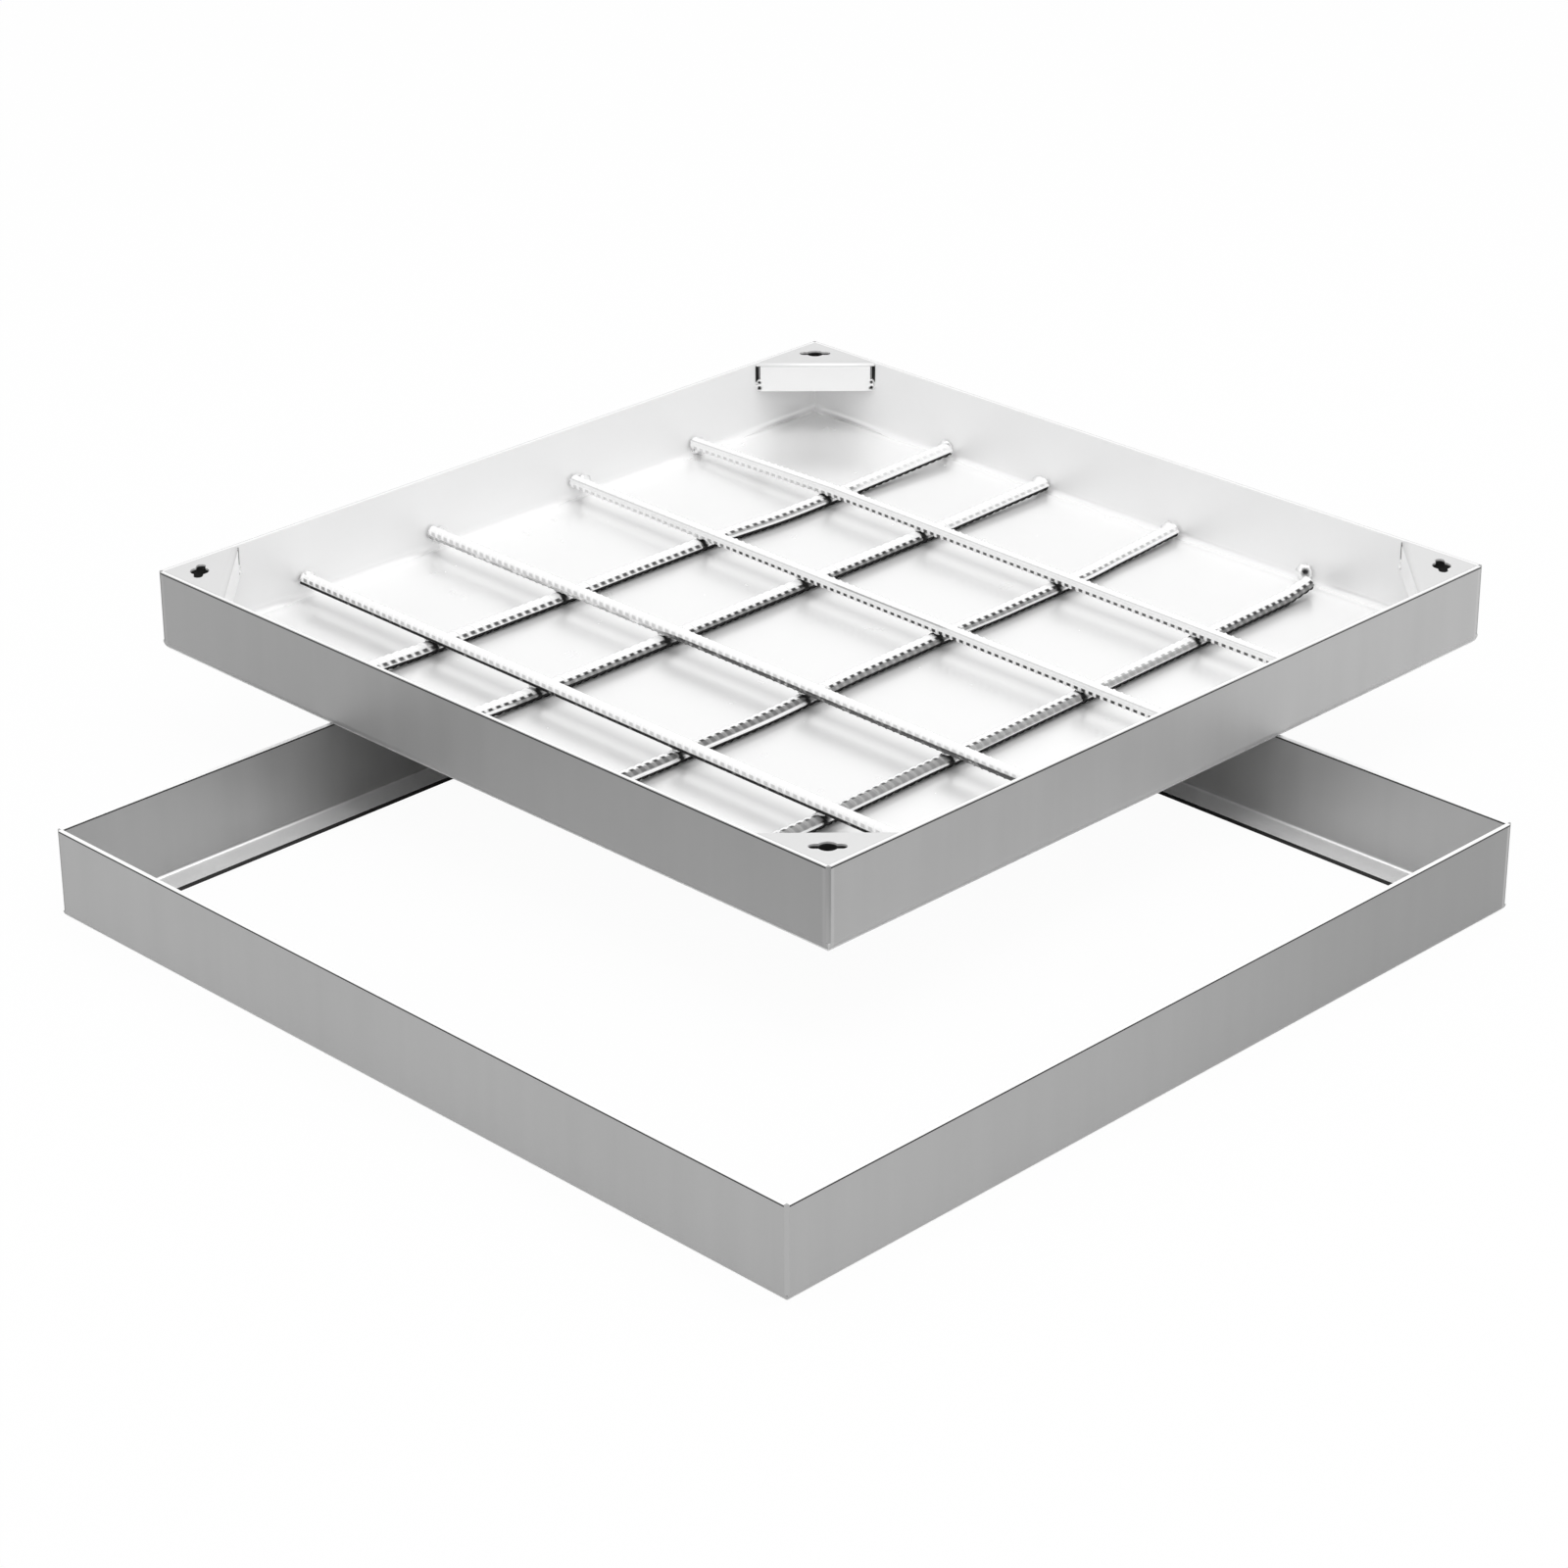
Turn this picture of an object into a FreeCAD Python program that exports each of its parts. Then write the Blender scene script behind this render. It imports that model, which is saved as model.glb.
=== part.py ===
import FreeCAD, Part
import math
import os

import Sketcher

# Recessed paving cover: a square frame folded from sheet, bedded in the ground, and the
# tray that is filled with paving and dropped into it. The tray is shown lifted out, lying
# level on the frame's left and rear walls.
# Millimetres, +Z up. The origin is the middle of the frame's underside.

os.makedirs("parts", exist_ok=True)
doc = FreeCAD.newDocument("recessed_cover")
sheet = doc.addObject("Spreadsheet::Sheet", "Sizes")

SIZES = [
    ("frame_side", 600, "outer width of the square frame"),
    ("frame_height", 58, "height of the frame's walls"),
    ("frame_sheet", 2.5, "thickness of the frame's sheet"),
    ("frame_flange", 22, "width of the inward flange, from the wall's outer face"),
    ("frame_bend", 2.5, "inner radius of the fold between wall and flange"),
    ("frame_seam", 2, "radius of the ground weld down each frame corner"),
    ("tray_side", 590, "outer width of the square tray"),
    ("tray_depth", 55.5, "outer depth of the tray"),
    ("tray_sheet", 2.5, "thickness of the tray's sheet"),
    ("tray_bend", 6, "inner radius of the fold between floor and wall"),
    ("tray_seam", 2, "radius of the ground weld down each tray corner"),
    ("overhang_left", 157.8, "how far the tray stands out past the frame's left wall"),
    ("overhang_rear", 191.3, "how far the tray stands out past the frame's rear wall"),
    ("plate_leg", 65, "length of a key plate along each wall, from the outer corner"),
    ("plate_sheet", 2.5, "thickness of a key plate"),
    ("plate_bend", 1.5, "inner radius of the fold between key plate and lip"),
    ("plate_lip", 21, "height of the folded lip, from the plate's top"),
    ("lip_gap", 0.75, "slit between the lip's inner edge and the tray wall"),
    ("key_hole", 12, "diameter of the round part of a keyhole"),
    ("key_inset", 18.5, "keyhole centre from each outer wall face"),
    ("key_slot_length", 22, "overall length of the keyhole's slot"),
    ("key_slot_width", 6, "width of the keyhole's slot"),
    ("tack_width", 5, "diameter of the weld tacks at the foot of a lip"),
    ("tack_height", 6, "height of the weld tacks at the foot of a lip"),
    ("lower_bar_core", 8.8, "diameter of a lower bar between its ribs"),
    ("upper_bar_core", 8.2, "diameter of an upper bar between its ribs"),
    ("cross_rib", 0.55, "height of the bars' slanted cross ribs, which they rest on"),
    ("long_rib_height", 0.75, "height of the two ribs along each bar"),
    ("long_rib_width", 1.4, "width of the two ribs along each bar"),
    ("bar_end_gap", 1.75, "room between a bar's end and the tray wall"),
    ("bar_kink", 40, "radius of the bends near a bar's end"),
    ("end_weld_width", 12, "width of a bar's end weld across its corners"),
    ("end_weld_reach", 6, "length of an end weld along its bar"),
    ("cross_weld", 4, "width of the weld nugget where two bars cross"),
    ("bar_grid_side", 590, "tray side that the bars' places and bend lengths are given for"),
    ("lower_1_place", -166.4, "each lower bar's place across the tray, from its middle"),
    ("lower_2_place", -69.9, ""),
    ("lower_3_place", 55.4, ""),
    ("lower_4_place", 177.9, ""),
    ("upper_1_place", 165.5, "each upper bar's place along the tray, from its middle"),
    ("upper_2_place", 51.9, ""),
    ("upper_3_place", -73.5, ""),
    ("upper_4_place", -184.1, ""),
    ("near_rise", 3, "how far a lower bar's near end rides up the tray's fold"),
    ("near_run", 95, "length of bar bent up there"),
    ("lower_1_far_rise", 3, "the far ends are each bent in their own way: rise of the tip"),
    ("lower_1_far_run", 95, "and length of bar bent"),
    ("lower_2_far_rise", 2, ""),
    ("lower_2_far_run", 95, ""),
    ("lower_3_far_rise", 1.5, ""),
    ("lower_3_far_run", 60, ""),
    ("lower_4_far_rise", 4.5, ""),
    ("lower_4_far_run", 35, ""),
    ("upper_1_left_rise", -3, "an upper bar's one bent end"),
    ("upper_1_left_run", 110, ""),
]

# Degrees: how far each bar lies out of square, and how its long ribs are rolled about it
ANGLES = [
    ("lower_1_skew", 0.66),
    ("lower_2_skew", -0.5),
    ("lower_3_skew", -1.77),
    ("lower_4_skew", -1.72),
    ("upper_1_skew", -1.34),
    ("upper_2_skew", -1.16),
    ("upper_3_skew", -0.73),
    ("upper_4_skew", -0.81),
    ("lower_1_roll", -3),
    ("lower_2_roll", -4),
    ("lower_3_roll", -1),
    ("lower_4_roll", -3),
    ("upper_1_roll", -37),
    ("upper_2_roll", -32),
    ("upper_3_roll", 20),
    ("upper_4_roll", 24),
]

LOWER = ["lower_1", "lower_2", "lower_3", "lower_4"]
UPPER = ["upper_1", "upper_2", "upper_3", "upper_4"]
WELD_SIDES = 9

rows = SIZES + [(alias, value, "degrees") for alias, value in ANGLES]
for row, (alias, value, note) in enumerate(rows, start=1):
    sheet.set("A%d" % row, note)
    sheet.set("B%d" % row, str(value))
    sheet.setAlias("B%d" % row, alias)

doc.recompute()


def size(alias):
    """The number in one cell of the sheet."""
    return float(sheet.get(alias))


# Places that several pieces share, as expressions over the sheet
FRAME_HALF = "Sizes.frame_side / 2"
FRAME_FOLD = "(Sizes.frame_bend + Sizes.frame_sheet)"
TRAY_HALF = "Sizes.tray_side / 2"
TRAY_INSIDE = "(Sizes.tray_side / 2 - Sizes.tray_sheet)"
TRAY_FOLD = "(Sizes.tray_bend + Sizes.tray_sheet)"
TRAY_X = "(Sizes.tray_side / 2 - Sizes.frame_side / 2 - Sizes.overhang_left)"
TRAY_Y = "(Sizes.frame_side / 2 + Sizes.overhang_rear - Sizes.tray_side / 2)"
TRAY_Z = "Sizes.frame_height"
RIM_Z = "(Sizes.frame_height + Sizes.tray_depth)"
# Measured from a tray corner along the diagonal
LIP_FACE = "(Sizes.plate_leg / sqrt(2))"
PLATE_TIP = "(Sizes.tray_sheet * sqrt(2))"
KEY_PLACE = "(Sizes.key_inset * sqrt(2))"
LIP_HALF = ("(Sizes.plate_leg / sqrt(2) - Sizes.plate_sheet"
            " - (Sizes.tray_sheet + Sizes.lip_gap) * sqrt(2))")
# The bars spread out or draw together with the tray
SPREAD = "Sizes.tray_side / Sizes.bar_grid_side"
# Bar centres above the tray's underside
LOWER_Z = "(Sizes.tray_sheet + Sizes.cross_rib + Sizes.lower_bar_core / 2)"
UPPER_Z = ("(Sizes.tray_sheet + 3 * Sizes.cross_rib + Sizes.lower_bar_core"
           " + Sizes.upper_bar_core / 2)")


def origin_plane(body, role):
    """One of a body's own three base planes."""
    for feature in body.Origin.OriginFeatures:
        if feature.Role == role:
            return feature


def new_body(node):
    body = doc.addObject("PartDesign::Body", node)
    body.Label = node
    return body


def new_sketch(body, name, role, lift=None):
    """A sketch on a base plane, or lifted off it by the expression lift."""
    sketch = body.newObject("Sketcher::SketchObject", name)
    sketch.AttachmentSupport = [(origin_plane(body, role), "")]
    sketch.MapMode = "FlatFace"
    if lift:
        sketch.setExpression("AttachmentOffset.Base.z", lift)
    return sketch


def bind(sketch, constraint, expression):
    """Adds a driving constraint and ties it to the sheet."""
    index = sketch.addConstraint(constraint)
    sketch.setExpression("Constraints[%d]" % index, expression)


def add_polygon(sketch, corners):
    """A closed outline whose corners are pairs of expressions."""
    count = len(corners)
    first = sketch.GeometryCount
    turn = 2 * math.pi / count
    guess = [FreeCAD.Vector(math.cos(k * turn), math.sin(k * turn), 0) for k in range(count)]
    for k in range(count):
        sketch.addGeometry(Part.LineSegment(guess[k], guess[(k + 1) % count]), False)
    for k in range(count):
        following = first + (k + 1) % count
        sketch.addConstraint(Sketcher.Constraint("Coincident", first + k, 2, following, 1))
    for k, (across, up) in enumerate(corners):
        start = Sketcher.Constraint("DistanceX", -1, 1, first + k, 1, guess[k].x)
        bind(sketch, start, across)
        start = Sketcher.Constraint("DistanceY", -1, 1, first + k, 1, guess[k].y)
        bind(sketch, start, up)


def add_square(sketch, centre, half):
    """A square about a centre, both given as expressions."""
    x, y = centre
    low_x = "%s - %s" % (x, half)
    high_x = "%s + %s" % (x, half)
    low_y = "%s - %s" % (y, half)
    high_y = "%s + %s" % (y, half)
    add_polygon(sketch, [(low_x, low_y), (high_x, low_y), (high_x, high_y), (low_x, high_y)])


def pad(body, sketch, length, symmetric=False):
    feature = body.newObject("PartDesign::Pad", sketch.Name + "_pad")
    feature.Profile = sketch
    feature.setExpression("Length", length)
    if symmetric:
        feature.SideType = "Symmetric"
    doc.recompute()
    return feature


def cut_through(body, sketch, side="One side", backwards=False):
    """A pocket through everything; it has to take material away."""
    before = body.Shape.Volume
    feature = body.newObject("PartDesign::Pocket", sketch.Name + "_cut")
    feature.Profile = sketch
    feature.Type = "ThroughAll"
    feature.SideType = side
    feature.Reversed = backwards
    doc.recompute()
    if not body.Shape.Volume < before:
        raise RuntimeError(feature.Name + " cuts nothing")
    return feature


def fillet(body, base, radius, wanted):
    """Rounds the straight edges of the base whose middle passes the test wanted."""
    names = []
    for number, edge in enumerate(base.Shape.Edges, start=1):
        middle = edge.valueAt((edge.FirstParameter + edge.LastParameter) / 2)
        if wanted(middle):
            names.append("Edge%d" % number)
    feature = body.newObject("PartDesign::Fillet", "%s_round_%d" % (body.Name, len(body.Group)))
    feature.Base = (base, names)
    feature.setExpression("Radius", radius)
    doc.recompute()
    return feature


def near(value, target):
    return abs(value - target) < 1e-6


def corner_ways():
    """The four corners, anticlockwise from the front left, as signs along X and Y."""
    return [("front_left", -1, -1), ("front_right", 1, -1), ("rear_right", 1, 1), ("rear_left", -1, 1)]


# Frame: four folded rails, mitred and welded at the corners
def frame_rail(side, quarter_turns):
    body = new_body("frame_rail_" + side)
    wall_out = "-" + FRAME_HALF
    wall_in = wall_out + " + Sizes.frame_sheet"
    flange_edge = wall_out + " + Sizes.frame_flange"
    section = new_sketch(body, side + "_section", "YZ_Plane")
    add_polygon(section, [
        (wall_out, "0"),
        (flange_edge, "0"),
        (flange_edge, "Sizes.frame_sheet"),
        (wall_in, "Sizes.frame_sheet"),
        (wall_in, "Sizes.frame_height"),
        (wall_out, "Sizes.frame_height"),
    ])
    rail = pad(body, section, "Sizes.frame_side", symmetric=True)

    outer_y = -size("frame_side") / 2
    inner_y = outer_y + size("frame_sheet")
    inner_z = size("frame_sheet")
    rail = fillet(body, rail, FRAME_FOLD, lambda p: near(p.y, outer_y) and near(p.z, 0))
    rail = fillet(body, rail, "Sizes.frame_bend", lambda p: near(p.y, inner_y) and near(p.z, inner_z))

    # The mitre runs along y = -x at the right end and along y = x at the left end
    mitre = new_sketch(body, side + "_mitre", "XY_Plane")
    past = FRAME_HALF + " + Sizes.frame_flange"
    short = FRAME_HALF + " - 2 * Sizes.frame_flange"
    for sign in ("", "-"):
        add_polygon(mitre, [
            ("%s(%s)" % (sign, past), "-(%s)" % past),
            ("%s(%s)" % (sign, past), "-(%s)" % short),
            ("%s(%s)" % (sign, short), "-(%s)" % short),
        ])
    cut_through(body, mitre, side="Symmetric")

    seam = new_sketch(body, side + "_seam", "XY_Plane", lift=FRAME_FOLD)
    for sign in ("", "-"):
        add_square(seam, (sign + FRAME_HALF, "-" + FRAME_HALF), "Sizes.frame_seam")
    cut_through(body, seam, backwards=True)
    body.Placement.Rotation = FreeCAD.Rotation(FreeCAD.Vector(0, 0, 1), 90 * quarter_turns)
    return body


def corner_welds(node, centre, half, seam, foot, height):
    """The ground weld down each outer corner: a quarter round in the notch between the walls."""
    welds = []
    for turns, (corner, sign_x, sign_y) in enumerate(corner_ways()):
        weld = doc.addObject("Part::Cylinder", "%s_%s" % (node, corner))
        weld.Angle = 90
        weld.Placement.Rotation = FreeCAD.Rotation(FreeCAD.Vector(0, 0, 1), 180 + 90 * turns)
        weld.setExpression("Radius", seam)
        weld.setExpression("Height", "%s - %s" % (height, foot))
        inward = "(%s - %s)" % (half, seam)
        weld.setExpression("Placement.Base.x", "%s + %d * %s" % (centre[0], sign_x, inward))
        weld.setExpression("Placement.Base.y", "%s + %d * %s" % (centre[1], sign_y, inward))
        weld.setExpression("Placement.Base.z", "%s + %s" % (centre[2], foot))
        welds.append(weld)
    return group(node, welds)


def group(node, pieces):
    """Like pieces that share one node, each still a solid of its own."""
    compound = doc.addObject("Part::Compound", node)
    compound.Label = node
    compound.Links = pieces
    return compound


# Tray: floor and walls folded from one sheet, corners welded
def tray_pan():
    body = new_body("tray_pan")
    outline = new_sketch(body, "tray_outline", "XY_Plane")
    add_square(outline, ("0", "0"), TRAY_HALF)
    pad(body, outline, "Sizes.tray_depth")

    hollow = new_sketch(body, "tray_hollow", "XY_Plane", lift="Sizes.tray_sheet")
    add_square(hollow, ("0", "0"), TRAY_INSIDE)
    shell = cut_through(body, hollow, backwards=True)

    floor_z = size("tray_sheet")
    shell = fillet(body, shell, "Sizes.tray_bend", lambda p: near(p.z, floor_z))
    fillet(body, shell, TRAY_FOLD, lambda p: near(p.z, 0))

    seam = new_sketch(body, "tray_seam_notch", "XY_Plane", lift=TRAY_FOLD)
    for corner, sign_x, sign_y in corner_ways():
        centre = ("%d * %s" % (sign_x, TRAY_HALF), "%d * %s" % (sign_y, TRAY_HALF))
        add_square(seam, centre, "Sizes.tray_seam")
    cut_through(body, seam, backwards=True)
    body.setExpression("Placement.Base.x", TRAY_X)
    body.setExpression("Placement.Base.y", TRAY_Y)
    body.setExpression("Placement.Base.z", TRAY_Z)
    return body


def add_slot(sketch, centre_x, length, width):
    """A slot with round ends, along the sketch's second axis."""
    reach = (size("key_slot_length") - size("key_slot_width")) / 2
    radius = size("key_slot_width") / 2
    middle = size("key_inset") * math.sqrt(2)
    up = FreeCAD.Vector(0, 0, 1)
    first = sketch.GeometryCount
    top = FreeCAD.Vector(middle, reach, 0)
    bottom = FreeCAD.Vector(middle, -reach, 0)
    side = FreeCAD.Vector(radius, 0, 0)
    sketch.addGeometry(Part.ArcOfCircle(Part.Circle(top, up, radius), 0, math.pi), False)
    sketch.addGeometry(Part.LineSegment(top - side, bottom - side), False)
    sketch.addGeometry(Part.ArcOfCircle(Part.Circle(bottom, up, radius), math.pi, 2 * math.pi), False)
    sketch.addGeometry(Part.LineSegment(bottom + side, top + side), False)
    for k in range(4):
        sketch.addConstraint(Sketcher.Constraint("Tangent", first + k, 2, first + (k + 1) % 4, 1))
    sketch.addConstraint(Sketcher.Constraint("Vertical", first + 1))
    bind(sketch, Sketcher.Constraint("Radius", first, radius), width + " / 2")
    half = "(%s - %s) / 2" % (length, width)
    bind(sketch, Sketcher.Constraint("DistanceX", -1, 1, first, 3, middle), centre_x)
    bind(sketch, Sketcher.Constraint("DistanceY", -1, 1, first, 3, reach), half)
    bind(sketch, Sketcher.Constraint("DistanceY", first + 2, 3, -1, 1, reach), half)


# Key plate: a triangle across a tray corner, its long edge folded down into a lip.
# Its own X runs from the tray's outer corner along the diagonal, with Z = 0 at the rim.
def key_plate(corner, sign_x, sign_y, quarter_turns):
    body = new_body("key_plate_" + corner)
    lip_back = LIP_FACE + " - Sizes.plate_sheet"
    section = new_sketch(body, corner + "_fold", "XZ_Plane")
    add_polygon(section, [
        ("0", "0"),
        ("0", "-Sizes.plate_sheet"),
        (lip_back, "-Sizes.plate_sheet"),
        (lip_back, "-Sizes.plate_lip"),
        (LIP_FACE, "-Sizes.plate_lip"),
        (LIP_FACE, "0"),
    ])
    plate = pad(body, section, "2 * " + LIP_FACE, symmetric=True)

    face_x = size("plate_leg") / math.sqrt(2)
    back_x = face_x - size("plate_sheet")
    under_z = -size("plate_sheet")
    fold = "Sizes.plate_bend + Sizes.plate_sheet"
    plate = fillet(body, plate, fold, lambda p: near(p.x, face_x) and near(p.z, 0))
    fillet(body, plate, "Sizes.plate_bend", lambda p: near(p.x, back_x) and near(p.z, under_z))

    # Trimmed to the two wall faces, which meet in the tray's inner corner
    walls = new_sketch(body, corner + "_walls", "XY_Plane")
    past = PLATE_TIP + " + " + LIP_FACE
    add_polygon(walls, [
        (PLATE_TIP, "0"),
        (past, LIP_FACE),
        ("-" + PLATE_TIP, LIP_FACE),
        ("-" + PLATE_TIP, "-" + LIP_FACE),
        (past, "-" + LIP_FACE),
    ])
    cut_through(body, walls, side="Symmetric")

    ends = new_sketch(body, corner + "_lip_ends", "YZ_Plane")
    below = "-Sizes.plate_lip - Sizes.plate_sheet"
    for sign in ("", "-"):
        add_polygon(ends, [
            (sign + LIP_HALF, "-Sizes.plate_sheet"),
            (sign + LIP_FACE, "-Sizes.plate_sheet"),
            (sign + LIP_FACE, below),
            (sign + LIP_HALF, below),
        ])
    cut_through(body, ends, side="Symmetric")

    hole = new_sketch(body, corner + "_keyhole", "XY_Plane")
    hole.addGeometry(Part.Circle(FreeCAD.Vector(1, 0, 0), FreeCAD.Vector(0, 0, 1), 1), False)
    bind(hole, Sketcher.Constraint("Diameter", 0, 2), "Sizes.key_hole")
    bind(hole, Sketcher.Constraint("DistanceX", -1, 1, 0, 3, 1), KEY_PLACE)
    hole.addConstraint(Sketcher.Constraint("PointOnObject", 0, 3, -1))
    cut_through(body, hole)
    slot = new_sketch(body, corner + "_keyslot", "XY_Plane")
    add_slot(slot, KEY_PLACE, "Sizes.key_slot_length", "Sizes.key_slot_width")
    cut_through(body, slot)

    body.Placement.Rotation = FreeCAD.Rotation(FreeCAD.Vector(0, 0, 1), 45 + 90 * quarter_turns)
    body.setExpression("Placement.Base.x", "%s + %d * %s" % (TRAY_X, sign_x, TRAY_HALF))
    body.setExpression("Placement.Base.y", "%s + %d * %s" % (TRAY_Y, sign_y, TRAY_HALF))
    body.setExpression("Placement.Base.z", RIM_Z)
    return body


def cut_by(base, tool, name):
    result = doc.addObject("Part::Cut", name)
    result.Base = base
    result.Tool = tool
    return result


def plate_tacks(plates, pan):
    """A weld tack at each foot of each lip, filling the slit to the wall."""
    tacks = []
    for corner, sign_x, sign_y in corner_ways():
        for end, way in (("left", 1), ("right", -1)):
            name = "tack_%s_%s" % (corner, end)
            tack = doc.addObject("Part::Cylinder", name)
            tack.setExpression("Radius", "Sizes.tack_width / 2")
            tack.setExpression("Height", "Sizes.tack_height")
            # Along the diagonal and across it, turned into the tray's own axes
            along = "(%s - Sizes.plate_sheet / 2) / sqrt(2)" % LIP_FACE
            across = "(%s + Sizes.lip_gap) / sqrt(2)" % LIP_HALF
            tack.setExpression("Placement.Base.x", "%s + %d * (%s - %s + %d * %s)"
                               % (TRAY_X, sign_x, TRAY_HALF, along, way, across))
            tack.setExpression("Placement.Base.y", "%s + %d * (%s - %s - %d * %s)"
                               % (TRAY_Y, sign_y, TRAY_HALF, along, way, across))
            tack.setExpression("Placement.Base.z", RIM_Z + " - Sizes.plate_lip")
            tack = cut_by(tack, pan, name + "_off_wall")
            tacks.append(cut_by(tack, plates[corner], name + "_off_lip"))
    return group("key_plate_welds", tacks)


# Ribbed bar, made along its own X from its middle, with two ribs along it
def add_bar_section(sketch, core):
    """Two arcs of the core joined by two square ribs."""
    radius = size(core) / 2
    half_rib = size("long_rib_width") / 2
    reach = radius + size("long_rib_height")
    lean = math.asin(half_rib / radius)
    root = radius * math.cos(lean)
    up = FreeCAD.Vector(0, 0, 1)
    zero = FreeCAD.Vector(0, 0, 0)
    circle = Part.Circle(zero, up, radius)
    sketch.addGeometry(Part.ArcOfCircle(circle, lean, math.pi - lean), False)
    sketch.addGeometry(Part.ArcOfCircle(circle, math.pi + lean, 2 * math.pi - lean), False)
    for arc in (0, 1):
        sketch.addConstraint(Sketcher.Constraint("Coincident", arc, 3, -1, 1))
        bind(sketch, Sketcher.Constraint("Radius", arc, radius), "Sizes.%s / 2" % core)
    for rib, way in ((2, -1), (5, 1)):
        # From the end of one arc, out along the rib, over its top and back to the other arc
        from_arc, to_arc = (0, 1) if way < 0 else (1, 0)
        corners = [
            FreeCAD.Vector(way * root, -way * half_rib, 0),
            FreeCAD.Vector(way * reach, -way * half_rib, 0),
            FreeCAD.Vector(way * reach, way * half_rib, 0),
            FreeCAD.Vector(way * root, way * half_rib, 0),
        ]
        for k in range(3):
            sketch.addGeometry(Part.LineSegment(corners[k], corners[k + 1]), False)
        sketch.addConstraint(Sketcher.Constraint("Coincident", from_arc, 2, rib, 1))
        sketch.addConstraint(Sketcher.Constraint("Coincident", rib, 2, rib + 1, 1))
        sketch.addConstraint(Sketcher.Constraint("Coincident", rib + 1, 2, rib + 2, 1))
        sketch.addConstraint(Sketcher.Constraint("Coincident", rib + 2, 2, to_arc, 1))
        sketch.addConstraint(Sketcher.Constraint("Horizontal", rib))
        sketch.addConstraint(Sketcher.Constraint("Horizontal", rib + 2))
        sketch.addConstraint(Sketcher.Constraint("Vertical", rib + 1))
        tip = "%d * (Sizes.%s / 2 + Sizes.long_rib_height)" % (way, core)
        rib_edge = "%d * Sizes.long_rib_width / 2"
        bind(sketch, Sketcher.Constraint("DistanceX", -1, 1, rib + 1, 1, way * reach), tip)
        bind(sketch, Sketcher.Constraint("DistanceY", -1, 1, rib + 1, 1, -way * half_rib),
             rib_edge % -way)
        bind(sketch, Sketcher.Constraint("DistanceY", -1, 1, rib + 1, 2, way * half_rib),
             rib_edge % way)


def bend_of(bar, end):
    """The name of the bend at one end of a bar, or None where it is straight."""
    if (bar, end) == ("upper_1", "left"):
        return "upper_1_left"
    if bar.startswith("upper"):
        return None
    return "near" if end == "near" else bar + "_far"


def place_of(bar):
    return "(Sizes.%s_place * %s)" % (bar, SPREAD)


def add_bar_path(sketch, bend, way):
    """From the bar's middle straight out, and through its bend to the tip."""
    reach = size("tray_side") / 2 - size("tray_sheet") - size("bar_end_gap")
    tip_x = "%d * (%s - Sizes.bar_end_gap)" % (way, TRAY_INSIDE)
    middle = FreeCAD.Vector(0, 0, 0)
    if bend is None:
        sketch.addGeometry(Part.LineSegment(middle, FreeCAD.Vector(way * reach, 0, 0)), False)
        sketch.addConstraint(Sketcher.Constraint("Coincident", 0, 1, -1, 1))
        sketch.addConstraint(Sketcher.Constraint("Horizontal", 0))
        bind(sketch, Sketcher.Constraint("DistanceX", -1, 1, 0, 2, way * reach), tip_x)
        return

    rise = size(bend + "_rise")
    run = size(bend + "_run") * size("tray_side") / size("bar_grid_side")
    radius = size("bar_kink")
    slope = math.atan2(abs(rise), run)
    tangent = radius * math.tan(slope / 2)
    up = 1 if rise > 0 else -1
    kink = reach - run
    centre = FreeCAD.Vector(way * (kink - tangent), up * radius, 0)
    bend_start = FreeCAD.Vector(way * (kink - tangent), 0, 0)
    bend_end = FreeCAD.Vector(way * (kink + tangent * math.cos(slope)), up * tangent * math.sin(slope), 0)
    tip = FreeCAD.Vector(way * reach, rise, 0)

    # An arc runs anticlockwise, so on two of the four kinds of bend it starts at the far end
    foot = -up * math.pi / 2
    anticlockwise = way * up > 0
    low, high = (foot, foot + slope) if anticlockwise else (foot - slope, foot)
    inner, outer = (1, 2) if anticlockwise else (2, 1)
    circle = Part.Circle(centre, FreeCAD.Vector(0, 0, 1), radius)
    sketch.addGeometry(Part.LineSegment(middle, bend_start), False)
    sketch.addGeometry(Part.ArcOfCircle(circle, low, high), False)
    sketch.addGeometry(Part.LineSegment(bend_end, tip), False)
    sketch.addConstraint(Sketcher.Constraint("Coincident", 0, 1, -1, 1))
    sketch.addConstraint(Sketcher.Constraint("Horizontal", 0))
    sketch.addConstraint(Sketcher.Constraint("Tangent", 0, 2, 1, inner))
    sketch.addConstraint(Sketcher.Constraint("Tangent", 1, outer, 2, 1))
    bind(sketch, Sketcher.Constraint("Radius", 1, radius), "Sizes.bar_kink")
    bind(sketch, Sketcher.Constraint("DistanceX", -1, 1, 2, 2, way * reach), tip_x)
    bind(sketch, Sketcher.Constraint("DistanceY", -1, 1, 2, 2, rise), "Sizes.%s_rise" % bend)
    bent = "(Sizes.%s_run * %s)" % (bend, SPREAD)
    half_slope = "atan(abs(Sizes.%s_rise) / %s) / 2" % (bend, bent)
    centre_x = "%d * (%s - Sizes.bar_end_gap - %s - Sizes.bar_kink * tan(%s))" % (
        way, TRAY_INSIDE, bent, half_slope)
    bind(sketch, Sketcher.Constraint("DistanceX", -1, 1, 1, 3, centre.x), centre_x)


def bar_layout(bar):
    """What differs between the two layers: core size, height, and the bars' two ends."""
    if bar.startswith("lower"):
        return "lower_bar_core", LOWER_Z, (("near", -1), ("far", 1))
    return "upper_bar_core", UPPER_Z, (("left", -1), ("right", 1))


def runs_to_rear(bar):
    return bar.startswith("lower")


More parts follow.
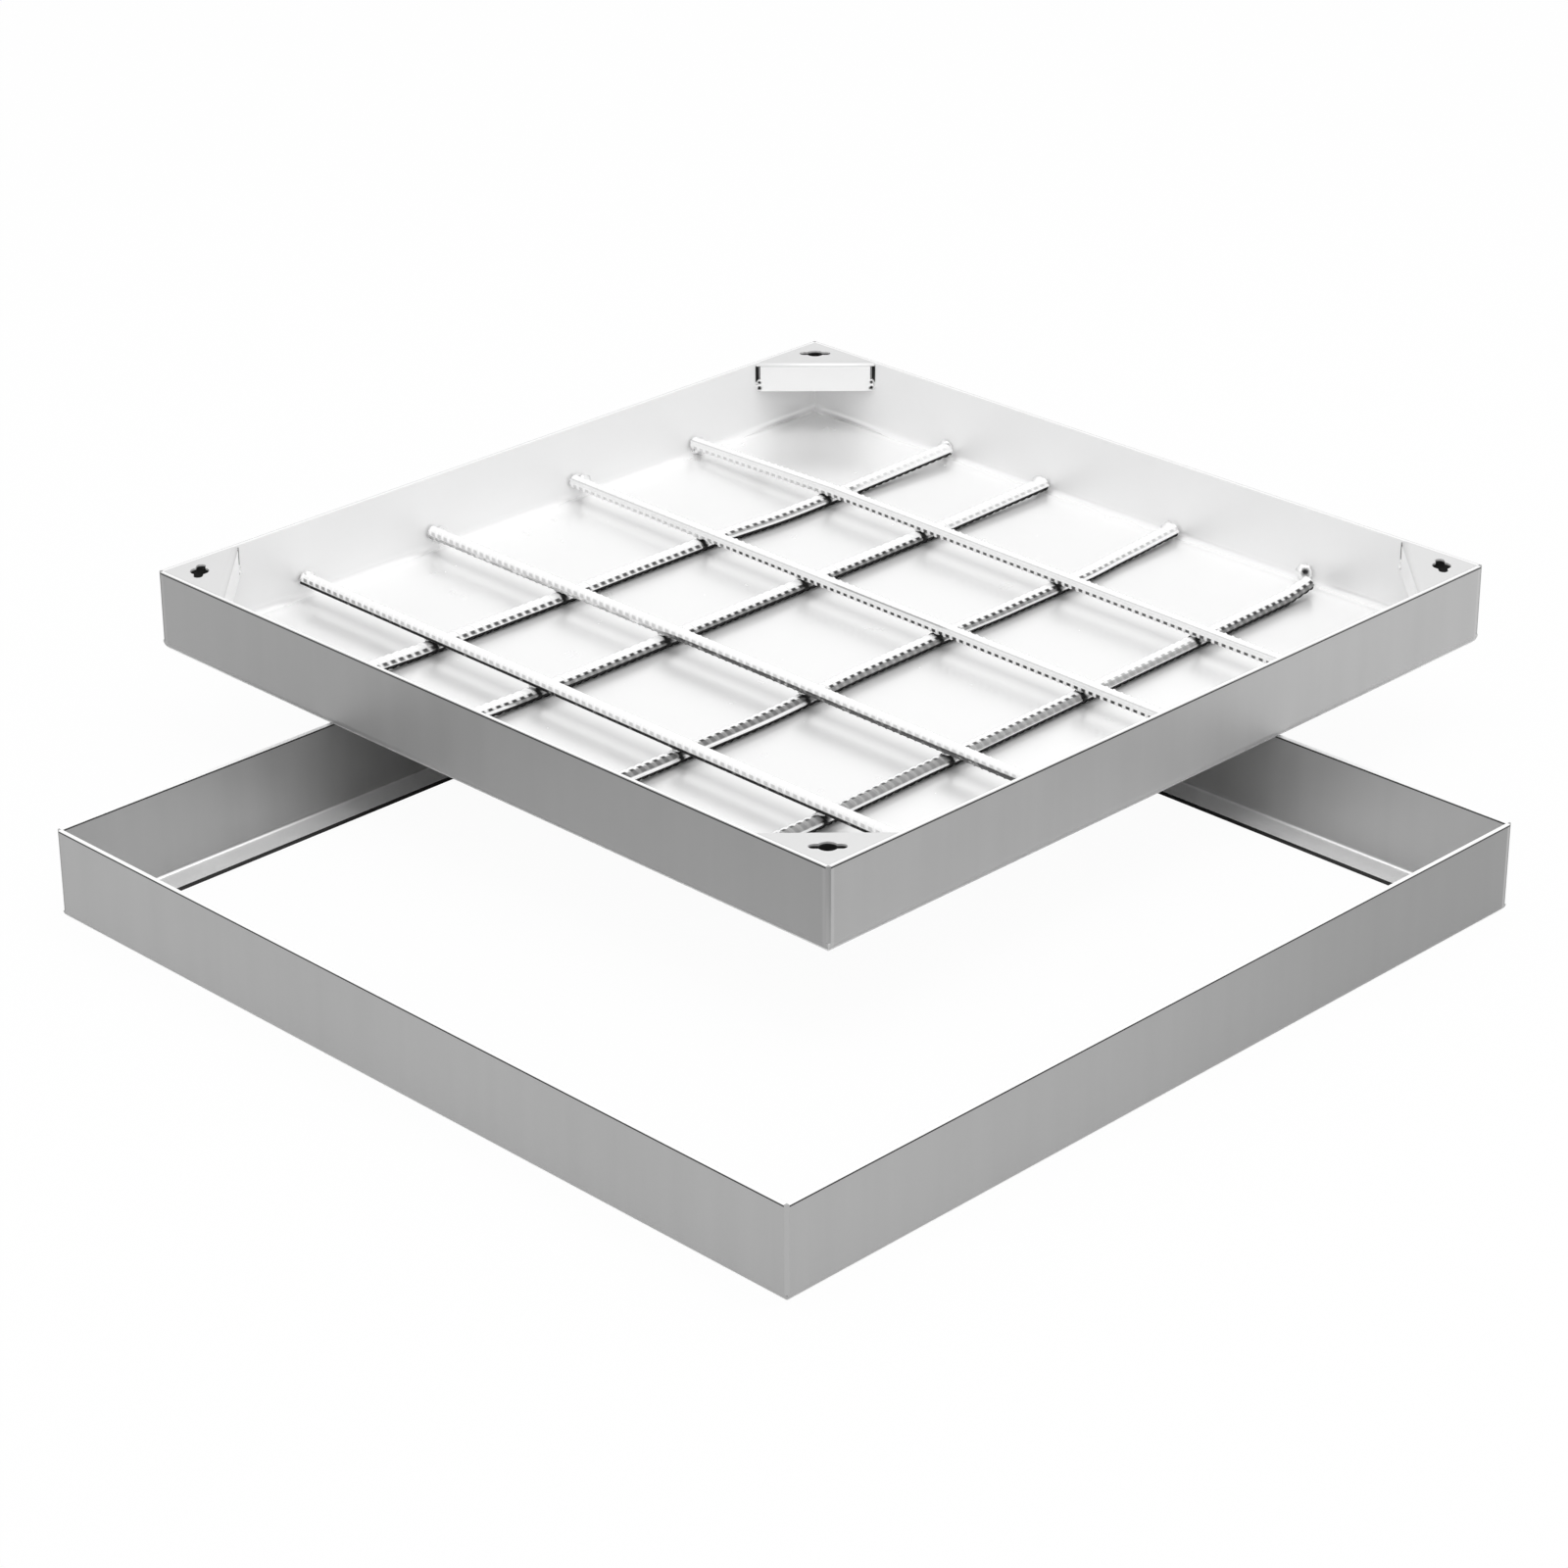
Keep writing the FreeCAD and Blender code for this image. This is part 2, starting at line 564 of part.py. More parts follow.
def ribbed_bar(bar):
    core, height, ends = bar_layout(bar)
    body = new_body("bar_" + bar)
    section = new_sketch(body, bar + "_section", "YZ_Plane")
    add_bar_section(section, core)
    section.AttachmentOffset = FreeCAD.Placement(
        FreeCAD.Vector(0, 0, 0), FreeCAD.Rotation(FreeCAD.Vector(0, 0, 1), size(bar + "_roll")))
    section.setExpression("AttachmentOffset.Rotation.Angle", "Sizes.%s_roll" % bar)
    for end, way in ends:
        path = new_sketch(body, "%s_%s_path" % (bar, end), "XZ_Plane")
        add_bar_path(path, bend_of(bar, end), way)
        doc.recompute()
        arm = body.newObject("PartDesign::AdditivePipe", "%s_%s_arm" % (bar, end))
        arm.Profile = section
        arm.Spine = path
        doc.recompute()

    place = place_of(bar)
    skew = "Sizes.%s_skew" % bar
    upright = FreeCAD.Vector(0, 0, 1)
    body.Placement.Rotation = FreeCAD.Rotation(upright, 90)
    if runs_to_rear(bar):
        body.setExpression("Placement.Rotation.Angle", "90 - " + skew)
        body.setExpression("Placement.Base.x", "%s + %s" % (TRAY_X, place))
        body.setExpression("Placement.Base.y", TRAY_Y)
    else:
        body.setExpression("Placement.Rotation.Angle", skew)
        body.setExpression("Placement.Base.x", TRAY_X)
        body.setExpression("Placement.Base.y", "%s + %s" % (TRAY_Y, place))
    body.setExpression("Placement.Base.z", "%s + %s" % (TRAY_Z, height))
    return body


def end_welds(bars, pan):
    """A rough many-sided lump of weld from the wall onto each bar's end."""
    welds = []
    for bar, body in bars.items():
        height, ends = bar_layout(bar)[1:]
        for end, way in ends:
            name = "%s_%s_weld" % (bar, end)
            weld = doc.addObject("Part::Prism", name)
            weld.Polygon = WELD_SIDES
            weld.setExpression("Circumradius", "Sizes.end_weld_width / 2")
            weld.setExpression("Height", "Sizes.end_weld_reach")
            wall = "%d * %s" % (way, TRAY_INSIDE)
            drift = "%s + %s * tan(Sizes.%s_skew)" % (place_of(bar), wall, bar)
            if runs_to_rear(bar):
                x, y, inward = drift, wall, FreeCAD.Vector(0, -way, 0)
            else:
                x, y, inward = wall, drift, FreeCAD.Vector(-way, 0, 0)
            weld.Placement.Rotation = FreeCAD.Rotation(FreeCAD.Vector(0, 0, 1), inward)
            weld.setExpression("Placement.Base.x", "%s + %s" % (TRAY_X, x))
            weld.setExpression("Placement.Base.y", "%s + %s" % (TRAY_Y, y))
            bend = bend_of(bar, end)
            rise = " + Sizes.%s_rise" % bend if bend else ""
            weld.setExpression("Placement.Base.z", "%s + %s%s" % (TRAY_Z, height, rise))
            weld = cut_by(weld, pan, name + "_off_wall")
            welds.append(cut_by(weld, body, name + "_off_bar"))
    return group("bar_end_welds", welds)


def crossing_welds():
    """A weld nugget between the two bars at each crossing, as thick as the ribs hold them apart."""
    welds = []
    for lower in LOWER:
        for upper in UPPER:
            weld = doc.addObject("Part::Prism", "%s_%s_weld" % (lower, upper))
            weld.Polygon = WELD_SIDES
            weld.setExpression("Circumradius", "Sizes.cross_weld / 2")
            weld.setExpression("Height", "2 * Sizes.cross_rib")
            drift_x = "%s * tan(Sizes.%s_skew)" % (place_of(upper), lower)
            drift_y = "%s * tan(Sizes.%s_skew)" % (place_of(lower), upper)
            top_of_lower = LOWER_Z + " + Sizes.lower_bar_core / 2"
            weld.setExpression("Placement.Base.x", "%s + %s + %s" % (TRAY_X, place_of(lower), drift_x))
            weld.setExpression("Placement.Base.y", "%s + %s + %s" % (TRAY_Y, place_of(upper), drift_y))
            weld.setExpression("Placement.Base.z", "%s + %s" % (TRAY_Z, top_of_lower))
            welds.append(weld)
    return group("bar_crossing_welds", welds)


nodes = []
for turns, side in enumerate(("front", "right", "rear", "left")):
    nodes.append(frame_rail(side, turns))
nodes.append(corner_welds("frame_corner_welds", ("0", "0", "0"), FRAME_HALF,
                          "Sizes.frame_seam", FRAME_FOLD, "Sizes.frame_height"))
pan = tray_pan()
nodes.append(pan)
nodes.append(corner_welds("tray_corner_welds", (TRAY_X, TRAY_Y, TRAY_Z), TRAY_HALF,
                          "Sizes.tray_seam", TRAY_FOLD, "Sizes.tray_depth"))
plates = {}
for turns, (corner, sign_x, sign_y) in enumerate(corner_ways()):
    plates[corner] = key_plate(corner, sign_x, sign_y, turns)
bars = {}
for bar in LOWER + UPPER:
    bars[bar] = ribbed_bar(bar)
doc.recompute()
nodes += plates.values()
nodes.append(plate_tacks(plates, pan))
nodes += bars.values()
nodes.append(end_welds(bars, pan))
nodes.append(crossing_welds())
doc.recompute()

for item in doc.Objects:
    if "Invalid" in item.State or "Error" in item.State:
        raise RuntimeError(item.Name + " did not compute")
for node in nodes:
    if node.Shape.isNull() or not node.Shape.isValid():
        raise RuntimeError(node.Label + " has no valid shape")
for node in nodes:
    node.Shape.exportStep("parts/%s.step" % node.Label)
    print(node.Label, len(node.Shape.Solids), round(node.Shape.Volume))
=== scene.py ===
import math

import bmesh
import bpy
from mathutils import Matrix, Quaternion, Vector, noise


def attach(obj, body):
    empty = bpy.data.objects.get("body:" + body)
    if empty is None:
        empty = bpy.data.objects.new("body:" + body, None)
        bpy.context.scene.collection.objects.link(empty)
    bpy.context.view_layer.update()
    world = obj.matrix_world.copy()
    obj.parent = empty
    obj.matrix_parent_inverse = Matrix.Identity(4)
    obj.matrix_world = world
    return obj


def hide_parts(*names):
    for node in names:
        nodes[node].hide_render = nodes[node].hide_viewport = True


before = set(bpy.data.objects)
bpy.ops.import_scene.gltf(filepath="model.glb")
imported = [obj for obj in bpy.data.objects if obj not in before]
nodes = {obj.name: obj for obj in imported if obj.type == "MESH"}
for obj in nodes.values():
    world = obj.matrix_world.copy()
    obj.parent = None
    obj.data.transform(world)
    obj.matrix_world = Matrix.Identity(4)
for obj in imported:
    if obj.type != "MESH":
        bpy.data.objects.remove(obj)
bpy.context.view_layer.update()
MM = 0.001

# Sizes in millimetres, as in the solids
TRAY_X, TRAY_Y, TRAY_Z = -162.8, 196.3, 58.0
TRAY_HALF, TRAY_DEPTH, SHEET = 295.0, 55.5, 2.5
TRAY_INSIDE = TRAY_HALF - SHEET
RIM_Z = TRAY_Z + TRAY_DEPTH
FRAME_HALF, FRAME_HEIGHT, FLANGE = 300.0, 58.0, 22.0
PLATE_LEG, PLATE_SHEET, PLATE_LIP, LIP_GAP = 65.0, 2.5, 21.0, 0.75
# From the tray's middle to the face of a lip, on the diagonal
LIP = (2 * TRAY_HALF - PLATE_LEG) / math.sqrt(2)
BAR_END_GAP = 1.75
BAR_REACH = TRAY_INSIDE - BAR_END_GAP
# Radius of the bends near a bar's end
KINK = 40.0
# Height of the slanted ribs and of the two ribs along a bar
CROSS_RIB, LONG_RIB = 0.55, 0.75
# Diameter of a bar between its ribs, and height of its axis over the tray's underside
CORE = {"lower": 8.8, "upper": 8.2}
HEIGHT = {"lower": 7.45, "upper": 17.05}

# The ribs' form, only in this scene. A rib along the bar: half the angle of its top and foot
LONG_RIB_TOP, LONG_RIB_FOOT = 0.11, 0.19
# A slanted rib: spacing, half the width of its top and foot, and its lean for each radian round
PITCH = {"lower": 6.6, "upper": 6.1}
CROSS_RIB_TOP, CROSS_RIB_FOOT, LEAN = 0.45, 0.95, 1.6
# Half the width of the scale between two slanted ribs
TOOTH = 1.15

# Grey of the painted shade in thin dark lines along edges and in the pockets behind the lips, and
# roughness of the sheet
DARK_LINE = 0.02
SATIN = 0.45

# The hidden near ends of the lower bars are all bent alike: rise and run
NEAR = (3, 95)
# Place across the tray, skew and roll in degrees, and (rise, run) of the bend at either end. As
# in the solids, but for upper_1's left end, which drops further and over a longer run here
BARS = {
    "lower_1": (-166.4, 0.66, -3, NEAR, (3, 95)),
    "lower_2": (-69.9, -0.5, -4, NEAR, (2, 95)),
    "lower_3": (55.4, -1.77, -1, NEAR, (1.5, 60)),
    "lower_4": (177.9, -1.72, -3, NEAR, (4.5, 35)),
    "upper_1": (165.5, -1.34, -37, (-4.2, 140), None),
    "upper_2": (51.9, -1.16, -32, None, None),
    "upper_3": (-73.5, -0.73, 20, None, None),
    "upper_4": (-184.1, -0.81, 24, None, None),
}
# Where a bar's visible end stands, if it stops before the weld at the wall
END = {"lower_4": 279.5}
# How far a bar stands nearer the front right corner than its straight line, and its own
# waves on top of that at places along it
NEARER = {"lower_1": 2.4, "lower_2": 1.7, "lower_3": 0.7, "lower_4": 0.1,
          "upper_1": 1.6, "upper_2": 1.6, "upper_3": 0.9, "upper_4": 0.3}
WAVES = {
    "lower_1": [(-290, 0.5), (-180, -0.2), (-60, -0.5), (10, -1.4), (60, -1.6), (130, 1.8),
                (205, 0.2), (290, 0)],
    "lower_2": [(-290, -1), (-180, -1), (-150, 0), (290, 0)],
    "lower_3": [(-290, -1), (-190, -1), (-110, 1), (-20, -1.5), (40, -1), (120, 1.9),
                (190, 2.7), (240, 0), (290, -1.4)],
    "lower_4": [(-290, -1), (-100, -1), (-60, -0.2), (290, 0.2)],
    "upper_3": [(-290, 1.2), (-222, 1.2), (-126, 0.3), (-30, -0.4), (18, -0.4), (114, 0.1),
                (290, 0.1)],
    "upper_4": [(-290, 1.2), (-198, 0.8), (-60, 0.2), (60, 0.1), (114, -0.3), (290, -1.3)],
}
# Place along the wall and height over the tray's underside of the welds at the bars' ends
WELDS = {
    ("upper_1", -1): (173.2, 9.8), ("upper_2", -1): (63.8, 13.7),
    ("upper_3", -1): (-66.0, 13.7), ("upper_4", -1): (-179.6, 16.3),
    ("lower_1", 1): (-162.1, 10.5), ("lower_2", 1): (-73.7, 8.7),
    ("lower_3", 1): (42.5, 8.0), ("lower_4", 1): (157.9, 11.6),
}
# Painted shade on a lower bar, in its grooves and on the side turned from the light: place along
# it, highest angle of the teeth, then how dark the teeth are, how dark the band under them is and
# the lowest angle of that band
LOWER_SCALE = {
    "lower_1": [(-290, 35, 0.9, 0, 12), (60, 35, 0.9, 0, 12), (85, 55, 0.9, 0.6, 15),
                (185, 55, 0.9, 0.6, 15), (205, 55, 0.3, 0.1, 15), (290, 55, 0.15, 0, 15)],
    "lower_2": [(-290, 42, 0.95, 0.5, 20), (-215, 42, 0.95, 0.5, 20), (-195, 44, 0.95, 0.74, -12),
                (45, 36, 0.95, 0.78, -12), (165, 36, 0.95, 0.76, -12), (185, 38, 0.4, 0.1, 12),
                (290, 38, 0.3, 0, 12)],
    "lower_3": [(-290, 85, 0.95, 0.82, 20), (-80, 85, 0.95, 0.82, 20), (-66, 50, 0.95, 0.74, -10),
                (45, 50, 0.95, 0.74, -10), (60, 60, 0.95, 0.72, 10), (160, 60, 0.95, 0.72, 10),
                (172, 45, 0.9, 0.5, 15), (230, 45, 0.5, 0.2, 15), (290, 45, 0.3, 0.1, 15)],
    "lower_4": [(-290, 100, 0.9, 0.7, 15), (-80, 100, 0.9, 0.7, 15), (-66, 75, 0.9, 0.65, 8),
                (45, 75, 0.9, 0.65, 8), (60, 60, 0.5, 0.6, 8), (160, 60, 0.5, 0.6, 8),
                (172, 50, 0.95, 0.8, -12), (290, 50, 0.95, 0.8, -12)],
}
# Painted shade on an upper bar, in its grooves and on the side turned from the light: place along
# it, then how dark the line on the long rib, the upper teeth, the lower dots and the solid lower
# band are, and the highest angle of that band
UPPER_SCALE = {
    "upper_1": [(-290, 0.33, 0, 0.25, 0, 0), (-180, 0.33, 0, 0.3, 0, 0),
                (-130, 0.33, 0, 0.9, 0, 0), (290, 0.33, 0, 0.9, 0, 0)],
    "upper_2": [(-290, 0.33, 0, 0.25, 0, 0), (-170, 0.33, 0, 0.3, 0, 0),
                (-120, 0.33, 0, 0.97, 0, 0), (-40, 0.33, 0, 0.97, 0, 0),
                (-30, 0.67, 0, 0.97, 0, 0), (60, 0.67, 0, 0.97, 0, 0),
                (70, 0.33, 0, 0.97, 0, 0), (290, 0.33, 0, 0.97, 0, 0)],
    "upper_3": [(-290, 0, 0.3, 0, 0.6, -8), (-70, 0, 0.3, 0, 0.6, -8),
                (-50, 0, 0.3, 0, 0.9, 6), (290, 0, 0.3, 0, 0.9, 8)],
    "upper_4": [(-290, 0, 0.6, 0, 1, -7), (-170, 0, 0.3, 0, 1, -7), (290, 0, 0.3, 0, 1, -7)],
}


def smooth(low, high, value):
    """Eases from nothing at low to one at high; low can be the larger one."""
    t = min(max((value - low) / (high - low), 0), 1)
    return t * t * (3 - 2 * t)


def between(low, high, soft, value):
    """One from low to high, falling to nothing over soft on either side."""
    return smooth(low - soft, low, value) * smooth(high + soft, high, value)


def along(table, s):
    """The values listed at places along a bar, eased between two places."""
    for first, second in zip(table, table[1:]):
        if s <= second[0]:
            t = smooth(first[0], second[0], s)
            return [a + (b - a) * t for a, b in zip(first[1:], second[1:])]
    return table[-1][1:]


class Graph:
    """A material's nodes, added and linked in short calls."""

    def __init__(self, name):
        self.material = bpy.data.materials.new(name)
        self.material.use_nodes = True
        self.tree = self.material.node_tree
        self.shader = self.tree.nodes["Principled BSDF"]
        coords = self.tree.nodes.new("ShaderNodeTexCoord")
        self.place = coords.outputs["Object"]
        split = self.node("ShaderNodeSeparateXYZ", self.place)
        self.x, self.y, self.z = split.outputs

    def feed(self, socket, value):
        """Links a socket into this one, or sets it to a plain value."""
        if isinstance(value, bpy.types.NodeSocket):
            self.tree.links.new(value, socket)
        else:
            socket.default_value = value

    def node(self, kind, *values, **settings):
        """A new node with its properties set and its inputs fed in order."""
        made = self.tree.nodes.new(kind)
        for key, value in settings.items():
            setattr(made, key, value)
        for socket, value in zip(made.inputs, values):
            if value is not None:
                self.feed(socket, value)
        return made

    def math(self, operation, *values):
        return self.node("ShaderNodeMath", *values, operation=operation).outputs[0]

    def times(self, *values):
        result = values[0]
        for value in values[1:]:
            result = self.math("MULTIPLY", result, value)
        return result

    def step(self, value, low, high, start=0.0, end=1.0):
        """A smooth ramp from start to end as the value goes from low to high."""
        ramp = self.node("ShaderNodeMapRange", value, interpolation_type="SMOOTHSTEP")
        ramp.inputs["From Min"].default_value = low
        ramp.inputs["From Max"].default_value = high
        ramp.inputs["To Min"].default_value = start
        ramp.inputs["To Max"].default_value = end
        return ramp.outputs["Result"]

    def band(self, value, centre, half, soft):
        """One within half of the centre, falling to nothing over soft."""
        away = self.math("ABSOLUTE", self.math("SUBTRACT", value, centre))
        return self.step(away, half, half + soft, 1.0, 0.0)

    def noise(self, scale, stretch=(1, 1, 1), detail=4.0, roughness=0.5):
        """Grain of a given scale, from 0 to 1, drawn out along the axes."""
        mapping = self.node("ShaderNodeMapping", self.place)
        mapping.inputs["Scale"].default_value = stretch
        texture = self.node("ShaderNodeTexNoise")
        self.feed(texture.inputs["Vector"], mapping.outputs[0])
        texture.inputs["Scale"].default_value = scale
        texture.inputs["Detail"].default_value = detail
        texture.inputs["Roughness"].default_value = roughness
        return texture.outputs["Fac"]

    def vary(self, value, grain, amount):
        """The value, made up to amount lighter and darker by a grain."""
        swing = self.math("MULTIPLY_ADD", grain, 2 * amount, 1 - amount)
        return self.times(value, swing)

    def mix(self, factor, first, second):
        """The first where the factor is nothing, the second where it is one."""
        mixer = self.node("ShaderNodeMix", factor, data_type="FLOAT")
        self.feed(mixer.inputs[2], first)
        self.feed(mixer.inputs[3], second)
        return mixer.outputs[0]

    def attribute(self, name):
        """A value that the mesh carries at its vertices."""
        return self.node("ShaderNodeAttribute", attribute_name=name).outputs["Fac"]

    def from_tray(self):
        """Distances from the tray's middle: across, deep, the larger one, and on the diagonal."""
        across = self.math("ABSOLUTE", self.math("SUBTRACT", self.x, TRAY_X * MM))
        deep = self.math("ABSOLUTE", self.math("SUBTRACT", self.y, TRAY_Y * MM))
        reach = self.math("MAXIMUM", across, deep)
        return across, deep, reach, self.times(self.math("ADD", across, deep), math.sqrt(0.5))

    def finish(self, grey, roughness, metallic, height=None, depth=0.0001):
        """Joins a grey, a roughness and a relief to the shader."""
        colour = self.node("ShaderNodeCombineColor", grey, grey, grey)
        self.feed(self.shader.inputs["Base Color"], colour.outputs[0])
        self.feed(self.shader.inputs["Roughness"], roughness)
        self.shader.inputs["Metallic"].default_value = metallic
        if height is not None:
            bump = self.node("ShaderNodeBump")
            bump.inputs["Distance"].default_value = depth
            bump.inputs["Strength"].default_value = 0.5
            self.feed(bump.inputs["Height"], height)
            self.feed(self.shader.inputs["Normal"], bump.outputs[0])
        return self.material


def frame_steel():
    """Grey walls, with painted light making the up-facing flange and rim almost white, painted
    shade towards the rear, and painted dark lines along the edges.
    """
    g = Graph("satin_frame_steel")
    reach = g.math("MAXIMUM", g.math("ABSOLUTE", g.x), g.math("ABSOLUTE", g.y))
    outer = g.math("GREATER_THAN", reach, (FRAME_HALF - 0.5) * MM)
    streak = g.noise(60, (1, 1, 0.06), 3)
    cloud = g.noise(5)
    # Painted shade: darker towards the rear, where the tray stands over the frame, but painted
    # light on the rear rail's wall
    rear_wall = g.step(g.y, (FRAME_HALF - 4.5) * MM, (FRAME_HALF - 3.5) * MM)
    fade = g.step(g.y, -FRAME_HALF * MM, (FRAME_HALF - 10) * MM, 1.04, 0.8)
    fade = g.mix(rear_wall, fade, 1.15)
    wall = g.times(g.vary(g.vary(0.41, cloud, 0.08), streak, 0.07), fade)
    # Painted light: the flange faces up and is painted almost white
    flange = g.step(g.z, 2.7 * MM, 3.6 * MM, 1.0, 0.0)
    flange = g.times(flange, g.math("SUBTRACT", 1.0, outer))
    grey = g.mix(flange, wall, g.vary(1.0, cloud, 0.03))
    # Painted highlight along the top of the rim
    rim = g.step(g.z, (FRAME_HEIGHT - 0.5) * MM, (FRAME_HEIGHT - 0.3) * MM)
    grey = g.mix(rim, grey, 0.98)
    # Painted shade: dark lines under the rim, along the foot and on the flange's inner edge
    under_rim = g.band(g.z, (FRAME_HEIGHT - 1.0) * MM, 0.35 * MM, 0.15 * MM)
    foot = g.times(outer, g.step(g.z, 0.7 * MM, 1.0 * MM, 1.0, 0.0))
    inmost = FRAME_HALF - FLANGE
    edge = g.step(reach, (inmost + 0.4) * MM, (inmost + 0.8) * MM, 1.0, 0.0)
    line = g.math("MAXIMUM", g.math("MAXIMUM", under_rim, foot), edge)
    grey = g.mix(line, grey, DARK_LINE)
    rough = g.vary(SATIN, streak, 0.15)
    return g.finish(grey, rough, 0.6, streak, 0.00004)


def tray_steel():
    """Pale inside and on the rim and grey outside, as painted light on one sheet, lighter on the
    right outer face, with painted shade in thin lines and behind the lips; brighter down the ground
    corners.
    """
    g = Graph("tray_steel_painted_light_and_shade")
    across, deep, reach, slant = g.from_tray()
    skin = (TRAY_HALF - SHEET / 2) * MM
    within = g.math("LESS_THAN", reach, skin)
    above = g.math("GREATER_THAN", g.z, (TRAY_Z + SHEET / 2) * MM)
    rim = g.math("GREATER_THAN", g.z, (RIM_Z - 0.1) * MM)
    inside = g.math("MAXIMUM", g.times(within, above), rim)
    streak = g.noise(60, (1, 1, 0.08), 3)
    cloud = g.noise(4)
    # Painted light: the floor and inner walls are painted pale and the outer faces grey, though
    # they are one sheet
    floor = g.step(g.z, (TRAY_Z + SHEET + 0.2) * MM, (TRAY_Z + SHEET + 9) * MM, 1.0, 0.0)
    # Painted light on the floor, lighter towards the walls to lift the shade there
    level = g.step(reach, 150 * MM, (TRAY_HALF - 10) * MM, 0.93, 1.0)
    inner = g.vary(g.mix(floor, 0.93, level), cloud, 0.02)
    # Painted light: the right outer face is painted lighter than the front one
    right = g.times(g.math("GREATER_THAN", across, deep), g.math("GREATER_THAN", g.x, 0.0))
    outer = g.vary(g.vary(g.mix(right, 0.37, 0.5), cloud, 0.07), streak, 0.06)
    corner = g.math("MINIMUM", across, deep)
    seam = g.step(corner, (TRAY_HALF - 5) * MM, (TRAY_HALF - 4) * MM, 1.0, 1.12)
    seam = g.times(seam, g.step(corner, (TRAY_HALF - 1.5) * MM, (TRAY_HALF - 1) * MM, 1.0, 1.2))
    grey = g.mix(inside, g.times(outer, seam), inner)
    # Painted shade: dark lines under the rim and along the foot, the dark space behind each lip and
    # the slits at its ends
    outward = g.math("GREATER_THAN", reach, (TRAY_HALF - 0.5) * MM)
    line = g.times(outward, g.band(g.z, (RIM_Z - 1.0) * MM, 0.35 * MM, 0.15 * MM))
    foot = g.band(g.z, (TRAY_Z + 1.2) * MM, 0.5 * MM, 0.2 * MM)
    foot = g.times(foot, g.math("SUBTRACT", 1.0, within))
    high = g.step(g.z, (RIM_Z - PLATE_LIP) * MM, (RIM_Z - PLATE_LIP + 3) * MM)
    behind = g.step(slant, (LIP + PLATE_SHEET + 0.2) * MM, (LIP + PLATE_SHEET + 1.5) * MM)
    below = g.math("LESS_THAN", g.z, (RIM_Z - 0.5) * MM)
    behind = g.times(behind, high, below)
    slit = g.times(g.band(slant, (LIP + PLATE_SHEET / 2) * MM, 1.0 * MM, 0.4 * MM),
                   g.band(g.z, (RIM_Z - 8) * MM, 6 * MM, 0.5 * MM))
    hidden = g.times(within, g.math("MAXIMUM", behind, slit))
    dark = g.math("MAXIMUM", g.math("MAXIMUM", line, foot), hidden)
    # Painted shade: a thin dark line on the outer edge of the rim, on the two far walls
    beyond = g.math("GREATER_THAN", g.math("SUBTRACT", g.y, g.x), (TRAY_Y - TRAY_X) * MM)
    burr = g.step(reach, (TRAY_HALF - 0.7) * MM, (TRAY_HALF - 0.5) * MM)
    dark = g.math("MAXIMUM", dark, g.times(burr, rim, beyond, 0.8))
    grey = g.mix(dark, grey, DARK_LINE)
    # The floor is smoother than the folded walls and mirrors the bars a little
    rough = g.vary(g.mix(g.times(within, floor), SATIN, 0.26), streak, 0.12)
    return g.finish(grey, rough, 0.35, streak, 0.00004)


def plate_steel():
    """Bright on top and painted lighter still on the lip's face, with painted shade on the side
    that faces the tray's corner.
    """
    g = Graph("key_plate_steel")
    slant = g.from_tray()[3]
    cloud = g.noise(14)
    # Painted light: the lip's face is painted lighter than the top of the same sheet
    lip = g.step(g.z, (RIM_Z - 3.5) * MM, (RIM_Z - PLATE_SHEET) * MM, 1.0, 0.0)
    grey = g.vary(g.mix(lip, 0.72, 1.0), cloud, 0.03)
    # Painted shade on the side behind the lip
    behind = g.step(slant, (LIP + 1.0) * MM, (LIP + 1.5) * MM)
    behind = g.times(behind, g.step(g.z, (RIM_Z - 1.6) * MM, (RIM_Z - 1.2) * MM, 1.0, 0.0))
    grey = g.mix(behind, grey, DARK_LINE)
    return g.finish(grey, g.vary(SATIN, cloud, 0.12), 0.5, g.noise(220), 0.00003)


def bar_steel():
    """Pale bar, with painted shade in the grooves, on the side turned from the light, underneath
    and where bars cross.
    """
    g = Graph("ribbed_bar_steel")
    dark = g.attribute("dark")
    grain = g.noise(300)
    grey = g.vary(g.mix(dark, 0.98, 0.008), grain, 0.03)
    g.shader.inputs["Specular IOR Level"].default_value = 0.15
    return g.finish(grey, g.vary(0.5, grain, 0.2), 0.1, grain, 0.00004)


def weld_metal():
    """Bright bead of weld, with painted shade making its pits black."""
    g = Graph("weld_metal")
    pit = g.attribute("pit")
    grain = g.noise(400)
    grey = g.vary(g.mix(pit, 0.9, 0.015), grain, 0.08)
    return g.finish(grey, g.vary(0.3, grain, 0.25), 0.7, grain, 0.00008)


def ground_weld():
    """Corner weld ground flush, with the grinder's streaks."""
    g = Graph("ground_weld")
    streak = g.noise(90, (1, 1, 0.1), 3)
    return g.finish(g.vary(0.44, streak, 0.06), g.vary(0.36, streak, 0.2), 0.85, streak, 0.00004)


def add_piece(name, mesh, material, slot, *replaced):
    """Puts a mesh into the scene, in place of the nodes that it replaces. The slot is not used."""
    piece = bpy.data.objects.new(name, mesh)
    bpy.context.scene.collection.objects.link(piece)
    mesh.materials.append(material)
    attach(piece, "root")
    if replaced:
        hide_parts(*replaced)


